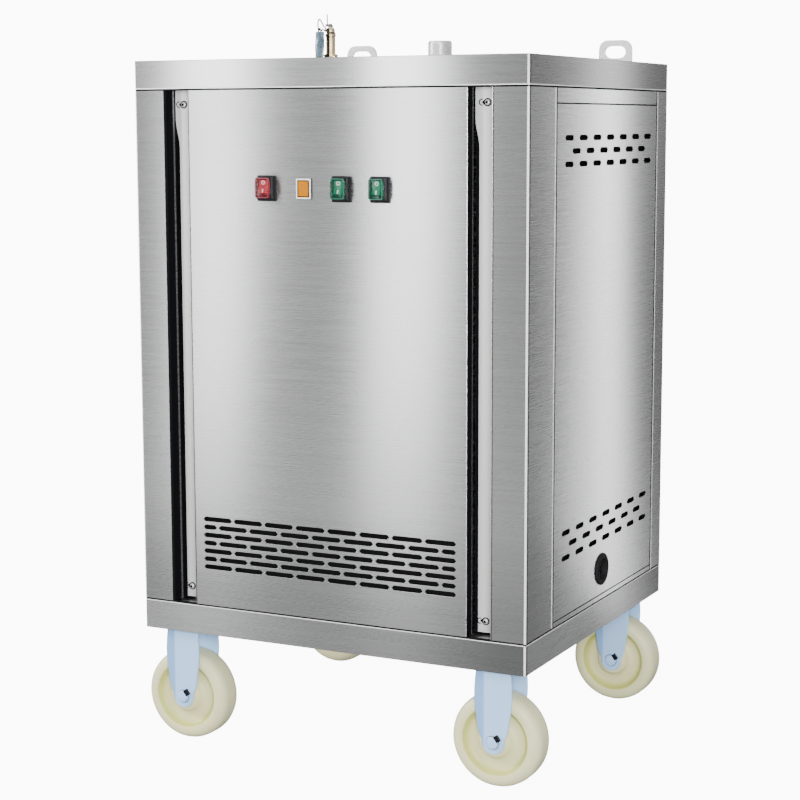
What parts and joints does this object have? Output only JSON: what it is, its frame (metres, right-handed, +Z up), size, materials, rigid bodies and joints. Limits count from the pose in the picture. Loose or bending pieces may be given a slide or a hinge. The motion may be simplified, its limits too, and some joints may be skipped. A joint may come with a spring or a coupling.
{
  "type": "steam cleaner",
  "caption": "Upright stainless cabinet steam cleaner on fixed castors, with rocker switches, pilot lamp, vents, relief valve and threaded steam outlet.",
  "frame": {"origin": "on the floor, under the middle of the cabinet", "axes": "+Z up, +X to the right seen from the front, -Y towards the front"},
  "size_m": [0.71, 0.6214, 1.2048],
  "materials": {
    "brushed_stainless": "horizontally brushed stainless sheet",
    "satin_steel": "satin steel",
    "zinc_plate": "bright bluish zinc plating on pressed steel",
    "cream_nylon": "cream nylon",
    "brass": "turned brass",
    "black_plastic": "black moulded plastic",
    "red_rocker": "translucent red plastic",
    "green_rocker": "translucent green plastic",
    "amber_lens": "translucent amber plastic",
    "white_bezel": "white moulded plastic",
    "black_rubber": "black rubber",
    "tag_plastic": "mottled blue and white plastic",
    "copper_tube": "copper tube",
    "tank_plastic": "natural polyethylene",
    "pump_casting": "painted casting",
    "box_enamel": "grey enamel"
  },
  "bodies": {
    "cabinet": {"base_tray": "brushed_stainless", "top_cover": "brushed_stainless", "post_front_left": "brushed_stainless", "post_front_right": "brushed_stainless", "post_rear_left": "brushed_stainless", "post_rear_right": "brushed_stainless", "front_panel": "brushed_stainless", "side_panel_right": "brushed_stainless", "side_panel_left": "brushed_stainless", "rear_panel": "brushed_stainless", "rail_top_right": "brushed_stainless", "rail_top_left": "brushed_stainless", "rail_bottom_right": "brushed_stainless", "rail_bottom_left": "brushed_stainless", "lug_left": "brushed_stainless", "lug_right": "brushed_stainless", "steam_outlet": "brushed_stainless", "boiler_vessel": "brushed_stainless", "heater_bundle": "brushed_stainless", "channel_strip_left": "satin_steel", "channel_strip_right": "satin_steel", "strip_screw_left_top": "satin_steel", "strip_screw_left_bottom": "satin_steel", "strip_screw_right_top": "satin_steel", "strip_screw_right_bottom": "satin_steel", "switch_housing_red": "black_plastic", "switch_housing_green_left": "black_plastic", "switch_housing_green_right": "black_plastic", "indicator_bezel": "white_bezel", "indicator_lens": "amber_lens", "castor_fork_front_left": "zinc_plate", "castor_axle_front_left": "zinc_plate", "castor_nut_front_left": "zinc_plate", "castor_fork_front_right": "zinc_plate", "castor_axle_front_right": "zinc_plate", "castor_nut_front_right": "zinc_plate", "castor_fork_rear_left": "zinc_plate", "castor_axle_rear_left": "zinc_plate", "castor_nut_rear_left": "zinc_plate", "castor_fork_rear_right": "zinc_plate", "castor_axle_rear_right": "zinc_plate", "castor_nut_rear_right": "zinc_plate", "valve_body": "brass", "valve_tag": "tag_plastic", "cable_bush": "black_rubber", "water_tank": "tank_plastic", "pump_body": "pump_casting", "pipe_feed": "copper_tube", "pipe_steam": "copper_tube", "contactor_box": "box_enamel"},
    "wheel_front_left": {"castor_wheel_front_left": "cream_nylon"},
    "wheel_front_right": {"castor_wheel_front_right": "cream_nylon"},
    "wheel_rear_left": {"castor_wheel_rear_left": "cream_nylon"},
    "wheel_rear_right": {"castor_wheel_rear_right": "cream_nylon"},
    "rocker_red": {"rocker_red": "red_rocker"},
    "rocker_green_left": {"rocker_green_left": "green_rocker"},
    "rocker_green_right": {"rocker_green_right": "green_rocker"},
    "relief_stem": {"valve_stem": "satin_steel"},
    "tank_float": {"tank_float": "tank_plastic"},
    "pump_rotor": {"pump_rotor": "satin_steel"}
  },
  "joints": [
    {"name": "wheel_front_left_spin", "type": "hinge", "parent": "cabinet", "child": "wheel_front_left", "pos_m": [-0.28, -0.258, 0.075], "axis": [0, 1, 0], "continuous": true},
    {"name": "wheel_front_right_spin", "type": "hinge", "parent": "cabinet", "child": "wheel_front_right", "pos_m": [0.28, -0.258, 0.075], "axis": [0, 1, 0], "continuous": true},
    {"name": "wheel_rear_left_spin", "type": "hinge", "parent": "cabinet", "child": "wheel_rear_left", "pos_m": [-0.28, 0.258, 0.075], "axis": [0, 1, 0], "continuous": true},
    {"name": "wheel_rear_right_spin", "type": "hinge", "parent": "cabinet", "child": "wheel_rear_right", "pos_m": [0.28, 0.258, 0.075], "axis": [0, 1, 0], "continuous": true},
    {"name": "rocker_red_tilt", "type": "hinge", "parent": "cabinet", "child": "rocker_red", "pos_m": [-0.0985, -0.302, 0.9155], "axis": [1, 0, 0], "range_deg": [0, 20]},
    {"name": "rocker_green_left_tilt", "type": "hinge", "parent": "cabinet", "child": "rocker_green_left", "pos_m": [0.033, -0.302, 0.9155], "axis": [1, 0, 0], "range_deg": [0, 20]},
    {"name": "rocker_green_right_tilt", "type": "hinge", "parent": "cabinet", "child": "rocker_green_right", "pos_m": [0.0985, -0.302, 0.9155], "axis": [1, 0, 0], "range_deg": [0, 20]},
    {"name": "relief_stem_lift", "type": "slide", "parent": "cabinet", "child": "relief_stem", "axis": [0, 0, 1], "range_m": [0, 0.003], "stiffness_N_per_m": 400},
    {"name": "float_swing", "type": "hinge", "parent": "cabinet", "child": "tank_float", "pos_m": [0.19, 0.238, 0.4824], "axis": [1, 0, 0], "range_deg": [-35, 0]},
    {"name": "pump_spin", "type": "hinge", "parent": "cabinet", "child": "pump_rotor", "pos_m": [0.19, -0.15, 0.2524], "axis": [1, 0, 0], "continuous": true}
  ]
}
